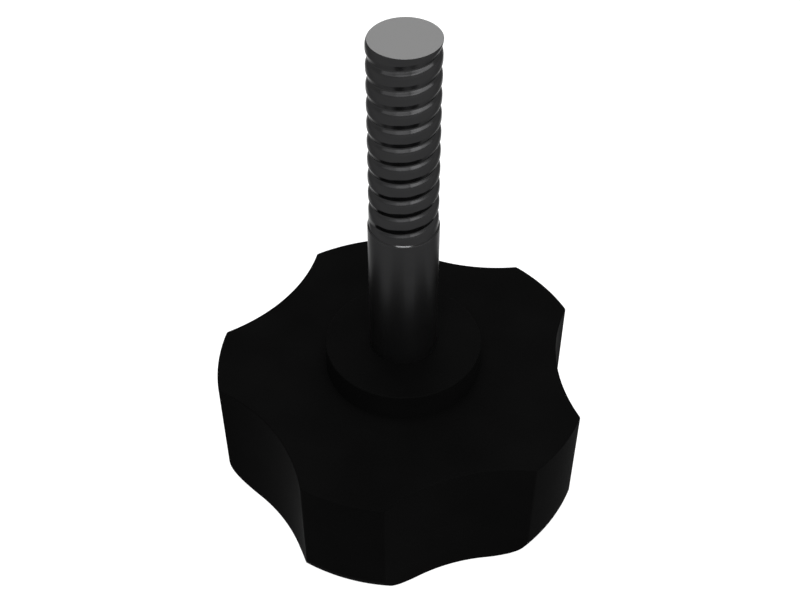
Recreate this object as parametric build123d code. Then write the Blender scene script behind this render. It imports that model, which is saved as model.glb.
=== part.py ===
from build123d import *
import math
import os

os.makedirs("parts", exist_ok=True)

# Five-lobed adjustment knob on a threaded stud. All sizes are in millimetres.
# The origin is the centre of the head's outer face, on which the knob stands, and +Z runs up the stud.

# Head
head_diameter = 59.3  # over the lobes
head_thickness = 22.5  # from the outer face to the flat face round the hub
rim_radius = 4.85  # rounding of the outer edge
lobe_count = 5
lobe_angle = 36.2  # direction of the first lobe, in degrees from +X
scallop_radius = 28.1  # the finger hollow between two lobes
scallop_depth = 5.05  # how far a hollow reaches into the head's circle
corner_break = 0.2  # upright corner between a lobe and a hollow
face_break = 0.2  # edge of the flat face round the hub
hub_diameter = 24.5
hub_height = 4.9
hub_break = 0.2  # edge of the hub

# Stud
shank_diameter = 10.49
shank_length = 23.7  # plain length that stands out of the hub
shoulder_length = 0.4  # cone between the shank and the thread
thread_diameter = 10.12
thread_length = 30.8  # from the shoulder to the tip
thread_pitch = 3.0
groove_width = 1.8  # at the crest
groove_root_width = 0.12
groove_depth = 0.31
groove_start_angle = 180.0  # where the groove begins, in degrees from +X
groove_start_height = 1.6  # of the middle of its start, above the shoulder

# Root and hexagonal anchor of the stud, which the head is moulded round
root_diameter = 9.6  # inside the head, under the shank
shank_bedding = 0.1  # how deep the shank's foot is set in the hub
anchor_across_flats = 17.0
anchor_thickness = 6.4
anchor_cover = 6.0  # plastic between the anchor and the outer face
moulding_clearance = 0.02

# Groove cutter
cutter_overlap = 0.1  # how far it stands out of the crest
turns_per_cut = 2  # a longer cutter is slow and can fail

head_radius = head_diameter / 2
hub_radius = hub_diameter / 2
first_hollow = lobe_angle + 180 / lobe_count
hub_face_height = head_thickness + hub_height
shank_top_height = hub_face_height + shank_length
thread_foot_height = shank_top_height + shoulder_length
tip_height = thread_foot_height + thread_length
on_base = (Align.CENTER, Align.CENTER, Align.MIN)
same_place = 0.01  # edges closer than this to a stated radius lie on it


def head_blank():
    """Disc with a rounded outer edge and the hub on its face, turned about the axis."""
    rim_start = (head_radius - rim_radius, 0)
    rim_end = (head_radius, rim_radius)
    with BuildPart() as blank:
        with BuildSketch(Plane.XZ):
            with BuildLine():
                Line((0, 0), rim_start)
                RadiusArc(rim_start, rim_end, -rim_radius)
                Polyline(
                    rim_end,
                    (head_radius, head_thickness),
                    (hub_radius, head_thickness),
                    (hub_radius, hub_face_height - hub_break),
                    (hub_radius - hub_break, hub_face_height),
                    (0, hub_face_height),
                    (0, 0),
                )
            make_face()
        revolve(axis=Axis.Z)
    return blank.part


def scallops():
    """Upright cylinders that cut the finger hollows, the first of them on +X."""
    centre_distance = head_radius - scallop_depth + scallop_radius
    cutter = Cylinder(scallop_radius, head_thickness, align=on_base)
    return [Rot(0, 0, number * 360 / lobe_count) * Pos(centre_distance, 0, 0) * cutter for number in range(lobe_count)]


def radial(edge):
    """Distance of an edge's middle from the knob's axis."""
    middle = edge.center()
    return math.hypot(middle.X, middle.Y)


def break_edges(head):
    """Takes the sharpness off the corners between lobes and hollows and off the edge of the flat face."""
    corners = head.edges().filter_by(Axis.Z).filter_by(lambda edge: abs(radial(edge) - head_radius) < same_place)
    head = chamfer(corners, corner_break)
    face_edges = head.edges().filter_by_position(Axis.Z, head_thickness, head_thickness)
    return chamfer(face_edges.filter_by(lambda edge: radial(edge) > hub_radius + same_place), face_break)


def make_head():
    head = break_edges(head_blank() - scallops())
    return Rot(0, 0, first_hollow) * head - stud_blank(moulding_clearance)


def stud_blank(clearance=0.0):
    """Anchor, root and shank of the stud. With a clearance, the space for them in the head."""
    anchor_foot = anchor_cover - clearance
    shank_foot = hub_face_height - shank_bedding - clearance
    anchor = extrude(
        RegularPolygon(anchor_across_flats / 2 + clearance, 6, major_radius=False),
        anchor_thickness + 2 * clearance,
    )
    root = Cylinder(root_diameter / 2 + clearance, shank_foot - anchor_foot, align=on_base)
    shank = Cylinder(shank_diameter / 2 + clearance, shank_top_height - shank_foot, align=on_base)
    return Pos(0, 0, anchor_foot) * (anchor + root) + Pos(0, 0, shank_foot) * shank


def groove_cutter(turns):
    """Part of the thread's groove, as a wedge wound up a right-hand helix from height 0."""
    crest_radius = thread_diameter / 2
    flank_run = (groove_width - groove_root_width) / 2 / groove_depth
    outer_half = groove_width / 2 + cutter_overlap * flank_run
    root_half = groove_root_width / 2
    section_plane = Plane(origin=(crest_radius, 0, 0), x_dir=(1, 0, 0), z_dir=(0, -1, 0))
    section = section_plane * Polygon(
        (cutter_overlap, -outer_half),
        (cutter_overlap, outer_half),
        (-groove_depth, root_half),
        (-groove_depth, -root_half),
        align=None,
    )
    return sweep(section, path=Helix(thread_pitch, turns * thread_pitch, crest_radius), is_frenet=True)


def make_stud():
    shoulder = Cone(shank_diameter / 2, thread_diameter / 2, shoulder_length, align=on_base)
    threaded = Rot(0, 0, 90) * Cylinder(thread_diameter / 2, thread_length, align=on_base)
    stud = stud_blank() + Pos(0, 0, shank_top_height) * shoulder + Pos(0, 0, thread_foot_height) * threaded
    cutter = groove_cutter(turns_per_cut)
    rise = turns_per_cut * thread_pitch
    start = thread_foot_height + groove_start_height
    for number in range(math.ceil((tip_height + groove_width - start) / rise)):
        stud -= Pos(0, 0, start + number * rise) * Rot(0, 0, groove_start_angle) * cutter
    return stud


export_step(make_head(), "parts/knob_head.step")
export_step(make_stud(), "parts/stud.step")
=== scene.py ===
import math

import bpy
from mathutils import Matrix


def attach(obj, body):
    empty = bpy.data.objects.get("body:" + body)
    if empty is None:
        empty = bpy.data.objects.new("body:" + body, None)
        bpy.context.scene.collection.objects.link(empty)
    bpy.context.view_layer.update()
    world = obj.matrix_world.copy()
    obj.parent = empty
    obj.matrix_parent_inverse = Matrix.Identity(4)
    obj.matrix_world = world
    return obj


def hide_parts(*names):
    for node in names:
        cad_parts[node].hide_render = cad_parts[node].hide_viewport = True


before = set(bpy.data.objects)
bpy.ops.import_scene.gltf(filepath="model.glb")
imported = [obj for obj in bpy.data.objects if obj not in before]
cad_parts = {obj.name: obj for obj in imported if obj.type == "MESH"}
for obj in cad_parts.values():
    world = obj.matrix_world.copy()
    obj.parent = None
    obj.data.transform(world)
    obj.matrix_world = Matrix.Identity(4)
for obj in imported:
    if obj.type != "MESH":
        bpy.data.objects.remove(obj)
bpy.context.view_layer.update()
print("frame loaded")

mm = 0.001
near = 1e-6  # metres within which two places count as one
overlap = 1 * mm  # how far a shape that cuts or joins another reaches past it


# steps that both pieces use

def setMode(mode):
    bpy.ops.object.mode_set(mode=mode)


def pickOnly(piece):
    bpy.ops.object.select_all(action="DESELECT")
    piece.select_set(True)
    bpy.context.view_layer.objects.active = piece


def pickIn(piece, kind, test):
    # leaves edit mode on, with only what passes the test selected
    setMode("EDIT")
    bpy.ops.mesh.select_mode(type=kind)
    bpy.ops.mesh.select_all(action="DESELECT")
    setMode("OBJECT")
    mesh = piece.data
    corners = [v.co for v in mesh.vertices]
    if kind == "VERT":
        for v in mesh.vertices:
            v.select = test(v.co)
    else:
        for e in mesh.edges:
            e.select = test(corners[e.vertices[0]], corners[e.vertices[1]])
    setMode("EDIT")


def roundPicked(width, steps, affect="EDGES"):
    bpy.ops.mesh.bevel(offset=width, segments=steps, affect=affect, profile=0.5)


def addPrism(name, sides, radius, low, high, x=0.0, y=0.0, turn=0.0):
    bpy.ops.object.select_all(action="DESELECT")
    bpy.ops.mesh.primitive_cylinder_add(
        vertices=sides,
        radius=radius,
        depth=high - low,
        location=(x, y, (low + high) / 2),
        rotation=(0, 0, turn),
    )
    prism = bpy.context.object
    prism.name = name
    bpy.ops.object.transform_apply(location=True, rotation=True, scale=True)
    return prism


def addHexagon(name, acrossFlats, low, high):
    # turned so that a corner points along +X
    return addPrism(name, 6, acrossFlats / math.sqrt(3), low, high, turn=math.pi / 6)


def useBoolean(piece, tool, operation):
    pickOnly(piece)
    step = piece.modifiers.new(operation, "BOOLEAN")
    step.operation = operation
    step.solver = "EXACT"
    step.object = tool
    bpy.ops.object.modifier_apply(modifier=step.name)
    bpy.data.objects.remove(tool)


def finishPiece(piece, material, smoothBelow):
    # large faces keep their own shading, so the roundings beside them don't show as smears
    pickOnly(piece)
    bpy.ops.object.shade_smooth_by_angle(angle=math.radians(smoothBelow))
    even = piece.modifiers.new("even", "WEIGHTED_NORMAL")
    even.keep_sharp = True
    bpy.ops.object.modifier_apply(modifier=even.name)
    piece.data.materials.clear()
    piece.data.materials.append(material)


# shared finish group

def speckleGroup():
    # fine uneven specks and larger soft patches, both round grey 0.5
    group = bpy.data.node_groups.new("speckle", "ShaderNodeTree")
    group.interface.new_socket(name="Vector", in_out="INPUT", socket_type="NodeSocketVector")
    kinds = (("Fine", 3000.0, 3.0, 0.6), ("Patch", 120.0, 2.0, 0.5))  # name, scale, detail, roughness
    for label, scale, detail, roughness in kinds:
        size = group.interface.new_socket(
            name=f"{label} Scale", in_out="INPUT", socket_type="NodeSocketFloat"
        )
        size.default_value = scale
        group.interface.new_socket(name=label, in_out="OUTPUT", socket_type="NodeSocketFloat")
    given, out = group.nodes.new("NodeGroupInput"), group.nodes.new("NodeGroupOutput")
    for label, scale, detail, roughness in kinds:
        noise = group.nodes.new("ShaderNodeTexNoise")
        noise.inputs["Detail"].default_value = detail
        noise.inputs["Roughness"].default_value = roughness
        group.links.new(given.outputs["Vector"], noise.inputs["Vector"])
        group.links.new(given.outputs[f"{label} Scale"], noise.inputs["Scale"])
        group.links.new(noise.outputs["Fac"], out.inputs[label])
    return group


speckle = speckleGroup()


# what finishes are put together from

noiseLow, noiseHigh = 0.25, 0.75  # most of a noise lies between these


def newMaterial(name):
    material = bpy.data.materials.new(name)
    material.use_nodes = True
    nodes = material.node_tree.nodes
    return material, nodes, material.node_tree.links.new, nodes["Principled BSDF"]


def addPlace(nodes):
    return nodes.new("ShaderNodeTexCoord").outputs["Object"]


def addSpeckle(nodes, link, place, patchScale):
    grain = nodes.new("ShaderNodeGroup")
    grain.node_tree = speckle
    grain.inputs["Patch Scale"].default_value = patchScale
    link(place, grain.inputs["Vector"])
    return grain


def spread(nodes, link, source, low, high, fromLow=noiseLow, fromHigh=noiseHigh):
    # runs from low to high where the source runs from fromLow to fromHigh
    span = nodes.new("ShaderNodeMapRange")
    span.inputs["From Min"].default_value = fromLow
    span.inputs["From Max"].default_value = fromHigh
    span.inputs["To Min"].default_value = low
    span.inputs["To Max"].default_value = high
    link(source, span.inputs["Value"])
    return span.outputs["Result"]


def feed(link, value, socket):
    # an output is linked, a plain value is set
    if isinstance(value, bpy.types.NodeSocket):
        link(value, socket)
    else:
        socket.default_value = value


def addMath(nodes, link, operation, first, second):
    step = nodes.new("ShaderNodeMath")
    step.operation = operation
    feed(link, first, step.inputs[0])
    feed(link, second, step.inputs[1])
    return step.outputs["Value"]


def addMix(nodes, link, kind, mask, first, second):
    mix = nodes.new("ShaderNodeMix")
    mix.data_type = kind
    link(mask, mix.inputs["Factor"])
    feed(link, first, mix.inputs["A"])
    feed(link, second, mix.inputs["B"])
    return mix.outputs["Result"]


def addBump(nodes, link, shader, source, height, strength):
    bump = nodes.new("ShaderNodeBump")
    bump.inputs["Distance"].default_value = height
    bump.inputs["Strength"].default_value = strength
    link(source, bump.inputs["Height"])
    link(bump.outputs["Normal"], shader.inputs["Normal"])


# grip head: one black moulding with five lobes and a hub

gripHead = {
    "radius": 29.64 * mm,  # over the lobes
    "thickness": 22.5 * mm,
    "rimRadius": 4.85 * mm,  # rounding of the lower edge
    "rimSteps": 16,
    "rimSpare": 0.02 * mm,  # how far the rim's cutter stands off the lobes
    "sides": 240,
    "lobes": 5,
    "lobeAngle": 36.2,  # first lobe, degrees from +X
    "hollowRadius": 28.1 * mm,
    "hollowDepth": 5.05 * mm,
    "hollowSides": 256,
    "hubRadius": 12.25 * mm,
    "hubHeight": 4.9 * mm,
    "cornerRound": 0.25 * mm,
    "cornerSteps": 3,
    "cornerAngle": 28.0,  # edges sharper than this are corners, degrees
    "smoothBelow": 25.0,  # edges flatter than this are shaded smooth, degrees
    # room for the stud, a little larger than the stud itself
    "boreRadius": 5.265 * mm,
    "boreDepth": 0.12 * mm,
    "rootRadius": 4.82 * mm,
    "anchorFlats": 17.04 * mm,
    "anchorLow": 5.98 * mm,
    "anchorHigh": 12.42 * mm,
}


def makeGripHead():
    v = gripHead
    top = v["thickness"]
    hubTop = top + v["hubHeight"]
    lobeTurn = math.radians(v["lobeAngle"])
    # a side's middle, not its corner, points along the first lobe
    firstSide = lobeTurn + math.pi / v["sides"]
    piece = addPrism("gripHead", v["sides"], v["radius"], 0, top, turn=firstSide)

    # finger hollows
    reach = v["radius"] - v["hollowDepth"] + v["hollowRadius"]
    low, high = -overlap, top + overlap
    for number in range(v["lobes"]):
        toward = lobeTurn + math.tau * (number + 0.5) / v["lobes"]
        x, y = reach * math.cos(toward), reach * math.sin(toward)
        turn = toward + math.pi / 2
        hollow = addPrism("hollow", v["hollowSides"], v["hollowRadius"], low, high, x, y, turn)
        useBoolean(piece, hollow, "DIFFERENCE")

    # rounded upright corners and top edge, and none on the floor's side
    setMode("EDIT")
    bpy.ops.mesh.select_mode(type="EDGE")
    bpy.ops.mesh.select_all(action="DESELECT")
    bpy.ops.mesh.edges_select_sharp(sharpness=math.radians(v["cornerAngle"]))
    setMode("OBJECT")
    points = piece.data.vertices
    for edge in piece.data.edges:
        edge.select = edge.select and max(points[i].co.z for i in edge.vertices) > near
    setMode("EDIT")
    roundPicked(v["cornerRound"], v["cornerSteps"])
    setMode("OBJECT")

    # rounded outer rim, which the hollows run out of
    rim = addPrism("rim", v["sides"], v["radius"] + v["rimSpare"], 0, top + overlap, turn=firstSide)
    pickIn(rim, "EDGE", lambda a, b: a.z < near and b.z < near)
    roundPicked(v["rimRadius"], v["rimSteps"])
    setMode("OBJECT")
    useBoolean(piece, rim, "INTERSECT")

    # hub with a rounded edge
    hub = addPrism("hub", v["sides"], v["hubRadius"], top - overlap, hubTop)
    pickIn(hub, "EDGE", lambda a, b: a.z > top and b.z > top)
    roundPicked(v["cornerRound"], v["cornerSteps"])
    setMode("OBJECT")
    useBoolean(piece, hub, "UNION")

    # room for the stud's shank, root and anchor
    bore = addPrism("bore", v["sides"], v["boreRadius"], hubTop - v["boreDepth"], hubTop + overlap)
    useBoolean(piece, bore, "DIFFERENCE")
    rootRoom = addPrism("rootRoom", v["sides"], v["rootRadius"], v["anchorHigh"] - overlap, hubTop)
    useBoolean(piece, rootRoom, "DIFFERENCE")
    anchorRoom = addHexagon("anchorRoom", v["anchorFlats"], v["anchorLow"], v["anchorHigh"])
    useBoolean(piece, anchorRoom, "DIFFERENCE")
    print("grip head cut", len(piece.data.polygons))
    return piece


# stud: turned steel with a plain shank and a thread

stud = {
    "foot": 27.3 * mm,  # of the shank, just under the hub's face
    "shankRadius": 5.245 * mm,
    "shankTop": 51.27 * mm,
    "shoulderLean": 45.0,  # degrees from upright
    "shoulderRound": 0.12 * mm,  # of its lower edge
    "shoulderSteps": 4,
    "threadRadius": 5.06 * mm,
    "tip": 82.3 * mm,
    "tipBreak": 0.04 * mm,
    "pitch": 3.0 * mm,
    "grooveWidth": 1.8 * mm,
    "grooveDepth": 0.34 * mm,
    "rootHigh": -0.05 * mm,  # upper and lower end of the groove's floor, from its middle
    "rootLow": -0.2 * mm,
    "rootRound": 0.06 * mm,
    "rootSteps": 3,
    "crestRoundBelow": 0.4 * mm,  # rounding of the groove's two edges
    "crestRoundAbove": 0.2 * mm,
    "crestSteps": 6,
    "grooveStart": 52.7 * mm,
    "grooveStartAngle": 180.0,  # degrees from +X
    "fadeIn": 50.0,  # degrees of turn in which the groove gets its depth
    "turns": 13,
    "stepsPerTurn": 120,
    "weld": 0.006 * mm,  # shorter edges, left by the cuts, are closed up
    "smoothBelow": 35.0,  # edges flatter than this are shaded smooth, degrees
    "rootRadius": 4.8 * mm,
    "anchorFlats": 17.0 * mm,
    "anchorLow": 6.0 * mm,
    "anchorHigh": 12.4 * mm,
}


def pushOn(outward, up):
    bpy.ops.mesh.extrude_region_move(TRANSFORM_OT_translate={"value": (outward, 0, up)})


def stretch(factor, height):
    # widens what is selected about the stud's axis
    bpy.ops.transform.resize(value=(factor, factor, 1), center_override=(0, 0, height))


def cutAt(height, side):
    # clear_inner takes away what is below the height, clear_outer what is above it
    bpy.ops.mesh.select_all(action="SELECT")
    bpy.ops.mesh.bisect(plane_co=(0, 0, height), plane_no=(0, 0, 1), threshold=near / 10, **{side: True})


def drawThread(lift):
    # one pitch of the thread's outline, point by point, from a plane merged to one vertex
    v = stud
    crest = v["threadRadius"]
    root = crest - v["grooveDepth"]
    halfWidth = v["grooveWidth"] / 2
    outline = [
        (crest, -v["pitch"] / 2),
        (crest, -halfWidth),
        (root, v["rootLow"]),
        (root, v["rootHigh"]),
        (crest, halfWidth),
        (crest, v["pitch"] / 2),
    ]
    bpy.ops.object.select_all(action="DESELECT")
    bpy.ops.mesh.primitive_plane_add(size=mm)
    piece = bpy.context.object
    piece.name = "threadedStud"
    setMode("EDIT")
    bpy.ops.mesh.select_mode(type="VERT")
    bpy.ops.mesh.select_all(action="SELECT")
    bpy.ops.mesh.merge(type="CENTER")
    bpy.ops.transform.translate(value=(outline[0][0], 0, outline[0][1]))
    for (r0, z0), (r1, z1) in zip(outline, outline[1:]):
        pushOn(r1 - r0, z1 - z0)

    # rounded edges and root
    pickIn(piece, "VERT", lambda co: abs(co.z + halfWidth) < near)
    roundPicked(v["crestRoundBelow"], v["crestSteps"], "VERTICES")
    pickIn(piece, "VERT", lambda co: abs(co.z - halfWidth) < near)
    roundPicked(v["crestRoundAbove"], v["crestSteps"], "VERTICES")
    pickIn(piece, "VERT", lambda co: co.x < root + near)
    roundPicked(v["rootRound"], v["rootSteps"], "VERTICES")
    bpy.ops.mesh.select_all(action="SELECT")
    bpy.ops.transform.translate(value=(0, 0, lift))
    setMode("OBJECT")
    return piece


def windThread(piece):
    v = stud
    pickOnly(piece)
    wind = piece.modifiers.new("wind", "SCREW")
    wind.axis = "Z"
    wind.angle = math.tau
    wind.screw_offset = v["pitch"]
    wind.iterations = v["turns"]
    wind.steps = wind.render_steps = v["stepsPerTurn"]
    wind.use_normal_calculate = True
    bpy.ops.object.modifier_apply(modifier=wind.name)
    setMode("EDIT")
    bpy.ops.mesh.select_all(action="SELECT")
    bpy.ops.mesh.remove_doubles(threshold=near)
    setMode("OBJECT")
    print("thread wound", len(piece.data.polygons))


def fadeGroove(piece, grooveZero):
    # the groove runs in from nothing at its start, and the stud is plain below it
    v = stud
    crest = v["threadRadius"]
    for vert in piece.data.vertices:
        around = math.degrees(math.atan2(vert.co.y, vert.co.x)) % 360
        turnNumber = round((vert.co.z - grooveZero - v["pitch"] * around / 360) / v["pitch"])
        since = turnNumber * 360 + around - v["grooveStartAngle"]
        share = min(max(since / v["fadeIn"], 0), 1)
        share = share * share * (3 - 2 * share)  # soft at both ends
        r = math.hypot(vert.co.x, vert.co.y)
        wider = (crest - (crest - r) * share) / r
        vert.co.x *= wider
        vert.co.y *= wider


def makeStud():
    v = stud
    crest = v["threadRadius"]
    grooveZero = v["grooveStart"] - v["pitch"] * v["grooveStartAngle"] / 360  # height at +X
    piece = drawThread(grooveZero - v["pitch"])
    windThread(piece)
    fadeGroove(piece, grooveZero)

    # radius and height of each ring, from the shoulder's cone down to the anchor
    lean = math.radians(v["shoulderLean"])
    rings = []
    for step in range(v["shoulderSteps"] + 1):
        slope = lean * (1 - step / v["shoulderSteps"])
        r = v["shankRadius"] - v["shoulderRound"] * (1 - math.cos(slope))
        rings.append((r, v["shankTop"] + v["shoulderRound"] * math.sin(slope)))
    coneRadius, coneFoot = rings[0]
    threadFoot = coneFoot + (coneRadius - crest) / math.tan(lean)
    rings += [
        (v["shankRadius"], v["foot"]),
        (v["rootRadius"], v["foot"]),
        (v["rootRadius"], v["anchorLow"] + overlap),  # inside the anchor
    ]

    # cut square at the thread's foot and at the tip, whose end is closed with a small edge break
    setMode("EDIT")
    bpy.ops.mesh.select_mode(type="VERT")
    cutAt(threadFoot, "clear_inner")
    cutAt(v["tip"] - v["tipBreak"], "clear_outer")
    pushOn(0, v["tipBreak"])
    stretch(1 - v["tipBreak"] / crest, v["tip"])
    bpy.ops.mesh.edge_face_add()
    bpy.ops.mesh.select_all(action="SELECT")
    bpy.ops.mesh.remove_doubles(threshold=v["weld"])

    # ring by ring down from the open edge at the thread's foot
    bpy.ops.mesh.select_mode(type="EDGE")
    bpy.ops.mesh.select_all(action="DESELECT")
    bpy.ops.mesh.select_non_manifold(
        use_wire=False, use_multi_face=False, use_non_contiguous=False, use_verts=False
    )
    bpy.ops.transform.resize(value=(1, 1, 0), center_override=(0, 0, threadFoot))
    r0, z0 = crest, threadFoot
    for r1, z1 in rings:
        pushOn(0, z1 - z0)
        stretch(r1 / r0, z1)
        r0, z0 = r1, z1
    bpy.ops.mesh.edge_face_add()
    bpy.ops.mesh.select_all(action="SELECT")
    bpy.ops.mesh.normals_make_consistent(inside=False)
    setMode("OBJECT")

    anchor = addHexagon("anchor", v["anchorFlats"], v["anchorLow"], v["anchorHigh"])
    useBoolean(piece, anchor, "UNION")
    print("stud made", len(piece.data.polygons))
    return piece


# black mould-grained plastic

blackPlastic = {
    "colour": (0.0020, 0.0020, 0.0020, 1),
    "paleColour": (0.0027, 0.0027, 0.0027, 1),
    "patchScale": 90.0,
    "roughLow": 0.48,
    "roughHigh": 0.60,
    "ior": 1.022,  # a very dull skin
    "grainScale": 4500.0,
    "grainHeight": 0.012 * mm,
    "grainStrength": 0.6,
}


def blackPlasticFinish():
    v = blackPlastic
    material, nodes, link, shader = newMaterial("blackPlastic")
    grain = addSpeckle(nodes, link, addPlace(nodes), v["patchScale"])
    grain.inputs["Fine Scale"].default_value = v["grainScale"]
    patch = spread(nodes, link, grain.outputs["Patch"], 0, 1)
    link(addMix(nodes, link, "RGBA", patch, v["colour"], v["paleColour"]), shader.inputs["Base Color"])
    rough = spread(nodes, link, grain.outputs["Fine"], v["roughLow"], v["roughHigh"])
    link(rough, shader.inputs["Roughness"])
    shader.inputs["IOR"].default_value = v["ior"]
    addBump(nodes, link, shader, grain.outputs["Fine"], v["grainHeight"], v["grainStrength"])
    return material


# oiled dark steel, turned; its flat end is rougher and painted paler, a painted highlight for the light
# that falls on it from above

turnedSteel = {
    "colour": (0.019, 0.019, 0.0195, 1),
    "paleColour": (0.0225, 0.0225, 0.023, 1),
    "edgeTint": (0.42, 0.42, 0.42, 1),
    "metallic": 0.88,
    "patchScale": 160.0,
    "shankRough": 0.28,
    "threadRough": 0.19,  # of the shoulder too
    "blendFrom": 0.225 * mm,  # under the shank's top, where its finish begins to change
    "blendTo": 0.075 * mm,  # and where it has changed
    # painted highlight: the flat end's colour is paler than the sides, standing in for the light it
    # catches from above
    "endHighlightColour": (0.098, 0.098, 0.098, 1),
    "endRough": 0.5,
    "endSkin": 0.02 * mm,  # how far down from the tip the paler, rougher end reaches
    # faint rings left by the lathe
    "turningScale": 5200.0,
    "turningDetail": 2.0,
    "turningDrift": 0.02,  # how much a ring changes on its way round, 1 is as much as from ring to ring
    "turningRough": 0.003,
    "turningHeight": 0.002 * mm,
    "turningStrength": 0.03,
}


def turnedSteelFinish():
    v = turnedSteel
    material, nodes, link, shader = newMaterial("turnedSteel")
    place = addPlace(nodes)
    grain = addSpeckle(nodes, link, place, v["patchScale"])
    shader.inputs["Metallic"].default_value = v["metallic"]
    shader.inputs["Specular Tint"].default_value = v["edgeTint"]

    rings = nodes.new("ShaderNodeMapping")
    rings.inputs["Scale"].default_value = (v["turningDrift"], v["turningDrift"], 1.0)
    link(place, rings.inputs["Vector"])
    marks = nodes.new("ShaderNodeTexNoise")
    marks.inputs["Scale"].default_value = v["turningScale"]
    marks.inputs["Detail"].default_value = v["turningDetail"]
    link(rings.outputs["Vector"], marks.inputs["Vector"])

    # the flat end, painted paler as a painted highlight, is all that lies at the tip's height
    split = nodes.new("ShaderNodeSeparateXYZ")
    link(place, split.inputs["Vector"])
    height = split.outputs["Z"]
    atEnd = addMath(nodes, link, "GREATER_THAN", height, stud["tip"] - v["endSkin"])

    patch = spread(nodes, link, grain.outputs["Patch"], 0, 1)
    side = addMix(nodes, link, "RGBA", patch, v["colour"], v["paleColour"])
    # painted highlight: the end face gets the paler colour, for the light that falls on it from above
    link(addMix(nodes, link, "RGBA", atEnd, side, v["endHighlightColour"]), shader.inputs["Base Color"])

    # the shank is duller than the shoulder and the thread
    blendFrom, blendTo = stud["shankTop"] - v["blendFrom"], stud["shankTop"] - v["blendTo"]
    polish = spread(nodes, link, height, v["shankRough"], v["threadRough"], blendFrom, blendTo)
    uneven = spread(nodes, link, marks.outputs["Fac"], -v["turningRough"], v["turningRough"])
    rough = addMath(nodes, link, "ADD", polish, uneven)
    link(addMix(nodes, link, "FLOAT", atEnd, rough, v["endRough"]), shader.inputs["Roughness"])
    addBump(nodes, link, shader, marks.outputs["Fac"], v["turningHeight"], v["turningStrength"])
    return material


head = makeGripHead()
finishPiece(head, blackPlasticFinish(), gripHead["smoothBelow"])
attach(head, "root")
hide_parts("knob_head")

threadedStud = makeStud()
finishPiece(threadedStud, turnedSteelFinish(), stud["smoothBelow"])
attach(threadedStud, "root")
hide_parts("stud")
print("pieces in place")


# studio

studio = {
    "floorSize": 3.0,
    "floorHeight": -0.02 * mm,  # just under the knob
    "floorColour": (0.3, 0.3, 0.3, 1),
    "floorGlow": 0.85,  # round the knob, so that its shadow shows
    "farGlow": 1.0,  # further out, so that the floor meets the white behind it
    "glowFrom": 0.15,  # from this distance to the next the one turns into the other
    "glowTo": 0.45,
    "worldLevel": 0.05,
    "lampAim": 0.05,  # height on the axis that all lamps point at
    # x, y, z, width, height, brightness where 1 is white
    "lamps": {
        "frontLamp": (-0.08, -0.585, 0.165, 0.40, 0.11, 3.8),
        "frontRightLamp": (0.30, -0.50, 0.155, 0.34, 0.11, 6.8),
        "rightLamp": (0.54, -0.24, 0.16, 0.40, 0.12, 5.0),
        "leftFrontLamp": (-0.44, -0.40, 0.165, 0.46, 0.11, 2.1),
        "highLamp": (0, -0.42, 0.50, 0.36, 0.07, 29.0),
        "topLamp": (0, -0.02, 0.65, 0.50, 0.50, 4.0),
        "backLamp": (0, 0.49, 0.39, 0.60, 0.40, 3.2),
    },
}


def seenDirectly(nodes, link):
    # 1 for the camera, mirrors and glass
    path = nodes.new("ShaderNodeLightPath").outputs
    seen = addMath(nodes, link, "MAXIMUM", path["Is Camera Ray"], path["Is Glossy Ray"])
    return addMath(nodes, link, "MAXIMUM", seen, path["Is Transmission Ray"])


def makeFloor():
    v = studio
    bpy.ops.object.select_all(action="DESELECT")
    bpy.ops.mesh.primitive_plane_add(size=v["floorSize"], location=(0, 0, v["floorHeight"]))
    floor = bpy.context.object
    floor.name = "studioFloor"
    bpy.ops.object.transform_apply(location=True, rotation=True, scale=True)
    material, nodes, link, shader = newMaterial("studioFloor")
    shader.inputs["Base Color"].default_value = v["floorColour"]
    shader.inputs["Roughness"].default_value = 1.0
    shader.inputs["Specular IOR Level"].default_value = 0.0
    shader.inputs["Emission Color"].default_value = (1, 1, 1, 1)
    distance = nodes.new("ShaderNodeVectorMath")
    distance.operation = "LENGTH"
    link(addPlace(nodes), distance.inputs[0])
    far = distance.outputs["Value"]
    level = spread(nodes, link, far, v["floorGlow"], v["farGlow"], v["glowFrom"], v["glowTo"])
    glow = addMath(nodes, link, "MULTIPLY", seenDirectly(nodes, link), level)
    link(glow, shader.inputs["Emission Strength"])
    floor.data.materials.append(material)


def makeWorld():
    # dim as a light, white where it is seen
    world = bpy.data.worlds.new("studioWorld")
    bpy.context.scene.world = world
    world.use_nodes = True
    nodes, link = world.node_tree.nodes, world.node_tree.links.new
    background = nodes["Background"]
    background.inputs["Color"].default_value = (1, 1, 1, 1)
    seen = seenDirectly(nodes, link)
    strength = spread(nodes, link, seen, studio["worldLevel"], 1.0, fromLow=0.0, fromHigh=1.0)
    link(strength, background.inputs["Strength"])


def makeLamp(name, x, y, z, width, height, brightness):
    lamp = bpy.data.lights.new(name, "AREA")
    lamp.shape = "RECTANGLE"
    lamp.size = width
    lamp.size_y = height
    lamp.energy = brightness * math.pi * width * height
    holder = bpy.data.objects.new(name, lamp)
    bpy.context.scene.collection.objects.link(holder)
    holder.location = (x, y, z)
    aim = holder.location.copy()
    aim.z -= studio["lampAim"]
    holder.rotation_euler = aim.to_track_quat("Z", "Y").to_euler()


makeFloor()
makeWorld()
for name, settings in studio["lamps"].items():
    makeLamp(name, *settings)
print("studio lit")


# camera, as in the photo

view = {
    "place": (0, -133.36 * mm, 166.1 * mm),
    "tilt": 45.71,  # degrees up from straight down
    "turn": 0.0039,  # radians to the left
    "lens": 54.965,
    "sensorWidth": 36,
}

camera = bpy.data.cameras.new("camera")
camera.lens = view["lens"]
camera.sensor_width = view["sensorWidth"]
eye = bpy.data.objects.new("camera", camera)
bpy.context.scene.collection.objects.link(eye)
eye.location = view["place"]
eye.rotation_euler = (math.radians(view["tilt"]), 0, view["turn"])
bpy.context.scene.camera = eye
bpy.context.scene.view_settings.view_transform = "Standard"

print("scene ready")
